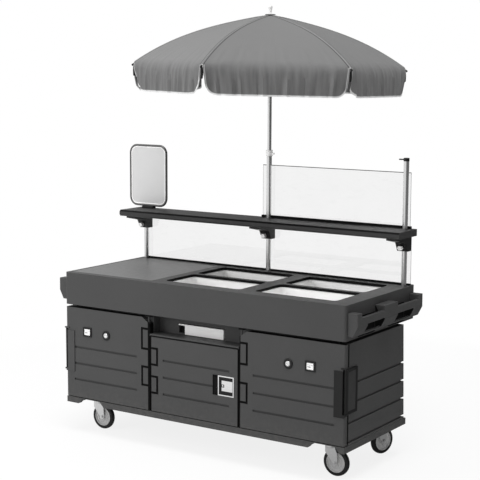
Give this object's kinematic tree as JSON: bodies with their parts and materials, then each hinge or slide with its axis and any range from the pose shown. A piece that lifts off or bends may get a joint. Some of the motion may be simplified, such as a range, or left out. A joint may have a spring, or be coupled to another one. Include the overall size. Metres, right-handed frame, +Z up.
{
  "type": "food kiosk cart",
  "caption": "Vending cart with a moulded cabinet, counter with food pans, shelf with clear screens on tube posts, bare menu sign, and a folding six-sided umbrella, on swivel castors.",
  "frame": {"origin": "on the floor, at the middle of the overall length and straight below the umbrella's pole, which is the middle of the overall depth", "axes": "+Z up, +X along the cart to the end without the sign, -Y to the side with the doors"},
  "size_m": [2.136, 1.6652, 2.641],
  "materials": {
    "body_grey": "fine moulded texture",
    "cover_grey": "fine moulded texture",
    "black_plastic": "satin",
    "white_plastic": "gloss",
    "tube_metal": "bright",
    "plated_steel": "zinc plated",
    "latch_chrome": "polished",
    "clear_screen": "clear",
    "sign_panel": "satin",
    "canvas": "woven",
    "wheel_rubber": "satin"
  },
  "bodies": {
    "cart": {"base_slab": "body_grey", "cabinet_shell": "body_grey", "counter_top": "body_grey", "end_grip_left": "body_grey", "end_grip_right": "body_grey", "post_left": "tube_metal", "post_right": "tube_metal", "post_centre": "tube_metal", "shelf_board": "body_grey", "shelf_bracket_1": "black_plastic", "shelf_bracket_2": "black_plastic", "shelf_bracket_3": "black_plastic", "lower_screen": "clear_screen", "upper_screen": "clear_screen", "menu_sign": "sign_panel"},
    "cover": {"cover_panel": "cover_grey"},
    "pan_1": {"food_pan_1": "white_plastic"},
    "pan_2": {"food_pan_2": "white_plastic"},
    "pan_3": {"food_pan_3": "white_plastic"},
    "pan_4": {"food_pan_4": "white_plastic"},
    "door_left_body": {"door_left": "body_grey"},
    "door_centre_body": {"door_centre": "body_grey"},
    "door_right_body": {"door_right": "body_grey"},
    "latch_paddle": {"centre_latch_paddle": "latch_chrome"},
    "lever_left": {"corner_lever_left": "black_plastic"},
    "lever_right": {"corner_lever_right": "black_plastic"},
    "drawer": {"utility_drawer": "white_plastic"},
    "knob_1": {"clamp_knob_1": "white_plastic"},
    "knob_2": {"clamp_knob_2": "white_plastic"},
    "knob_3": {"clamp_knob_3": "white_plastic"},
    "collar": {"lock_collar": "white_plastic"},
    "pole": {"umbrella_pole": "tube_metal", "umbrella_crown": "white_plastic"},
    "runner": {"umbrella_runner": "black_plastic"},
    "rib_1": {"umbrella_rib_1": "tube_metal", "canopy_panel_1": "canvas"},
    "stretcher_1": {"umbrella_stretcher_1": "tube_metal"},
    "rib_2": {"umbrella_rib_2": "tube_metal", "canopy_panel_2": "canvas"},
    "stretcher_2": {"umbrella_stretcher_2": "tube_metal"},
    "rib_3": {"umbrella_rib_3": "tube_metal", "canopy_panel_3": "canvas"},
    "stretcher_3": {"umbrella_stretcher_3": "tube_metal"},
    "rib_4": {"umbrella_rib_4": "tube_metal", "canopy_panel_4": "canvas"},
    "stretcher_4": {"umbrella_stretcher_4": "tube_metal"},
    "rib_5": {"umbrella_rib_5": "tube_metal", "canopy_panel_5": "canvas"},
    "stretcher_5": {"umbrella_stretcher_5": "tube_metal"},
    "rib_6": {"umbrella_rib_6": "tube_metal", "canopy_panel_6": "canvas"},
    "stretcher_6": {"umbrella_stretcher_6": "tube_metal"},
    "fork_front_left": {"castor_fork_front_left": "plated_steel"},
    "wheel_front_left": {"castor_wheel_front_left": "wheel_rubber"},
    "fork_front_right": {"castor_fork_front_right": "plated_steel"},
    "wheel_front_right": {"castor_wheel_front_right": "wheel_rubber"},
    "fork_back_left": {"castor_fork_back_left": "plated_steel"},
    "wheel_back_left": {"castor_wheel_back_left": "wheel_rubber"},
    "fork_back_right": {"castor_fork_back_right": "plated_steel"},
    "wheel_back_right": {"castor_wheel_back_right": "wheel_rubber"}
  },
  "joints": [
    {"name": "cover_lift", "type": "slide", "parent": "cart", "child": "cover", "axis": [0, 0, 1], "range_m": [0, 0.05]},
    {"name": "pan_1_lift", "type": "slide", "parent": "cart", "child": "pan_1", "axis": [0, 0, 1], "range_m": [0, 0.15]},
    {"name": "pan_2_lift", "type": "slide", "parent": "cart", "child": "pan_2", "axis": [0, 0, 1], "range_m": [0, 0.15]},
    {"name": "pan_3_lift", "type": "slide", "parent": "cart", "child": "pan_3", "axis": [0, 0, 1], "range_m": [0, 0.15]},
    {"name": "pan_4_lift", "type": "slide", "parent": "cart", "child": "pan_4", "axis": [0, 0, 1], "range_m": [0, 0.15]},
    {"name": "door_left_hinge", "type": "hinge", "parent": "cart", "child": "door_left_body", "pos_m": [-0.336, -0.752, 0.5], "axis": [0, 0, 1], "range_deg": [0, 88]},
    {"name": "door_centre_hinge", "type": "hinge", "parent": "cart", "child": "door_centre_body", "pos_m": [-0.309, -0.752, 0.45], "axis": [0, 0, -1], "range_deg": [0, 85]},
    {"name": "door_right_hinge", "type": "hinge", "parent": "cart", "child": "door_right_body", "pos_m": [0.327, -0.752, 0.5], "axis": [0, 0, -1], "range_deg": [0, 88]},
    {"name": "latch_paddle_pivot", "type": "hinge", "parent": "door_centre_body", "child": "latch_paddle", "pos_m": [0.206, -0.758, 0.501], "axis": [-1, 0, 0], "range_deg": [0, 25]},
    {"name": "lever_left_pivot", "type": "hinge", "parent": "door_left_body", "child": "lever_left", "pos_m": [-0.975, -0.757, 0.53], "axis": [0, 0, 1], "range_deg": [0, 100]},
    {"name": "lever_right_pivot", "type": "hinge", "parent": "door_right_body", "child": "lever_right", "pos_m": [1.007, -0.757, 0.53], "axis": [0, 0, -1], "range_deg": [0, 100]},
    {"name": "drawer_slide", "type": "slide", "parent": "cart", "child": "drawer", "axis": [0, -1, 0], "range_m": [0, 0.3]},
    {"name": "knob_1_turn", "type": "hinge", "parent": "cart", "child": "knob_1", "pos_m": [-0.932, -0.055, 1.234], "axis": [0, -1, 0], "continuous": true},
    {"name": "knob_2_turn", "type": "hinge", "parent": "cart", "child": "knob_2", "pos_m": [0.026, -0.055, 1.234], "axis": [0, -1, 0], "continuous": true},
    {"name": "knob_3_turn", "type": "hinge", "parent": "cart", "child": "knob_3", "pos_m": [0.964, -0.055, 1.234], "axis": [0, -1, 0], "continuous": true},
    {"name": "collar_twist", "type": "hinge", "parent": "cart", "child": "collar", "pos_m": [0.026, 0, 1.742], "axis": [0, 0, 1], "range_deg": [0, 90]},
    {"name": "pole_lift", "type": "slide", "parent": "cart", "child": "pole", "axis": [0, 0, 1], "range_m": [0, 0.2]},
    {"name": "runner_slide", "type": "slide", "parent": "pole", "child": "runner", "axis": [0, 0, -1], "range_m": [0, 0.3756]},
    {"name": "rib_1_hinge", "type": "hinge", "parent": "pole", "child": "rib_1", "pos_m": [0.02935, -0.03685, 2.56577], "axis": [0.9959, 0.0906, 0], "range_deg": [-1, 61], "deforming": ["canopy_panel_1"]},
    {"name": "stretcher_1_hinge", "type": "hinge", "parent": "runner", "child": "stretcher_1", "pos_m": [0.02899, -0.03286, 2.262], "axis": [-0.9959, -0.0906, 0], "range_deg": [-1, 41]},
    {"name": "rib_2_hinge", "type": "hinge", "parent": "pole", "child": "rib_2", "pos_m": [0.05959, -0.01552, 2.56577], "axis": [0.4195, 0.9078, 0], "range_deg": [-1, 61], "deforming": ["canopy_panel_2"]},
    {"name": "stretcher_2_hinge", "type": "hinge", "parent": "runner", "child": "stretcher_2", "pos_m": [0.05596, -0.01384, 2.262], "axis": [-0.4195, -0.9078, 0], "range_deg": [-1, 41]},
    {"name": "rib_3_hinge", "type": "hinge", "parent": "pole", "child": "rib_3", "pos_m": [0.05623, 0.02133, 2.56577], "axis": [-0.5764, 0.8171, 0], "range_deg": [-1, 61], "deforming": ["canopy_panel_3"]},
    {"name": "stretcher_3_hinge", "type": "hinge", "parent": "runner", "child": "stretcher_3", "pos_m": [0.05297, 0.01902, 2.262], "axis": [0.5764, -0.8171, 0], "range_deg": [-1, 41]},
    {"name": "rib_4_hinge", "type": "hinge", "parent": "pole", "child": "rib_4", "pos_m": [0.02265, 0.03685, 2.56577], "axis": [-0.9959, -0.0906, 0], "range_deg": [-1, 61], "deforming": ["canopy_panel_4"]},
    {"name": "stretcher_4_hinge", "type": "hinge", "parent": "runner", "child": "stretcher_4", "pos_m": [0.02301, 0.03286, 2.262], "axis": [0.9959, 0.0906, 0], "range_deg": [-1, 41]},
    {"name": "rib_5_hinge", "type": "hinge", "parent": "pole", "child": "rib_5", "pos_m": [-0.00759, 0.01552, 2.56577], "axis": [-0.4195, -0.9078, 0], "range_deg": [-1, 61], "deforming": ["canopy_panel_5"]},
    {"name": "stretcher_5_hinge", "type": "hinge", "parent": "runner", "child": "stretcher_5", "pos_m": [-0.00396, 0.01384, 2.262], "axis": [0.4195, 0.9078, 0], "range_deg": [-1, 41]},
    {"name": "rib_6_hinge", "type": "hinge", "parent": "pole", "child": "rib_6", "pos_m": [-0.00423, -0.02133, 2.56577], "axis": [0.5764, -0.8171, 0], "range_deg": [-1, 61], "deforming": ["canopy_panel_6"]},
    {"name": "stretcher_6_hinge", "type": "hinge", "parent": "runner", "child": "stretcher_6", "pos_m": [-0.00097, -0.01902, 2.262], "axis": [-0.5764, 0.8171, 0], "range_deg": [-1, 41]},
    {"name": "swivel_front_left", "type": "hinge", "parent": "cart", "child": "fork_front_left", "pos_m": [-0.846, -0.601, 0.17], "axis": [0, 0, 1], "continuous": true},
    {"name": "roll_front_left", "type": "hinge", "parent": "fork_front_left", "child": "wheel_front_left", "pos_m": [-0.813, -0.601, 0.08], "axis": [0, 1, 0], "continuous": true},
    {"name": "swivel_front_right", "type": "hinge", "parent": "cart", "child": "fork_front_right", "pos_m": [0.836, -0.601, 0.17], "axis": [0, 0, 1], "continuous": true},
    {"name": "roll_front_right", "type": "hinge", "parent": "fork_front_right", "child": "wheel_front_right", "pos_m": [0.869, -0.601, 0.08], "axis": [0, 1, 0], "continuous": true},
    {"name": "swivel_back_left", "type": "hinge", "parent": "cart", "child": "fork_back_left", "pos_m": [-0.836, -0.109, 0.17], "axis": [0, 0, 1], "continuous": true},
    {"name": "roll_back_left", "type": "hinge", "parent": "fork_back_left", "child": "wheel_back_left", "pos_m": [-0.80897, -0.09007, 0.08], "axis": [-0.5736, 0.8192, 0], "continuous": true},
    {"name": "swivel_back_right", "type": "hinge", "parent": "cart", "child": "fork_back_right", "pos_m": [0.868, -0.109, 0.17], "axis": [0, 0, 1], "continuous": true},
    {"name": "roll_back_right", "type": "hinge", "parent": "fork_back_right", "child": "wheel_back_right", "pos_m": [0.87929, -0.07799, 0.08], "axis": [-0.9397, 0.342, 0], "continuous": true}
  ],
  "couplings": [
    {"joint": "rib_1_hinge", "follows": "runner_slide", "rad_per_m": 2.7881},
    {"joint": "stretcher_1_hinge", "follows": "runner_slide", "rad_per_m": 1.8147},
    {"joint": "rib_2_hinge", "follows": "runner_slide", "rad_per_m": 2.7881},
    {"joint": "stretcher_2_hinge", "follows": "runner_slide", "rad_per_m": 1.8147},
    {"joint": "rib_3_hinge", "follows": "runner_slide", "rad_per_m": 2.7881},
    {"joint": "stretcher_3_hinge", "follows": "runner_slide", "rad_per_m": 1.8147},
    {"joint": "rib_4_hinge", "follows": "runner_slide", "rad_per_m": 2.7881},
    {"joint": "stretcher_4_hinge", "follows": "runner_slide", "rad_per_m": 1.8147},
    {"joint": "rib_5_hinge", "follows": "runner_slide", "rad_per_m": 2.7881},
    {"joint": "stretcher_5_hinge", "follows": "runner_slide", "rad_per_m": 1.8147},
    {"joint": "rib_6_hinge", "follows": "runner_slide", "rad_per_m": 2.7881},
    {"joint": "stretcher_6_hinge", "follows": "runner_slide", "rad_per_m": 1.8147}
  ]
}
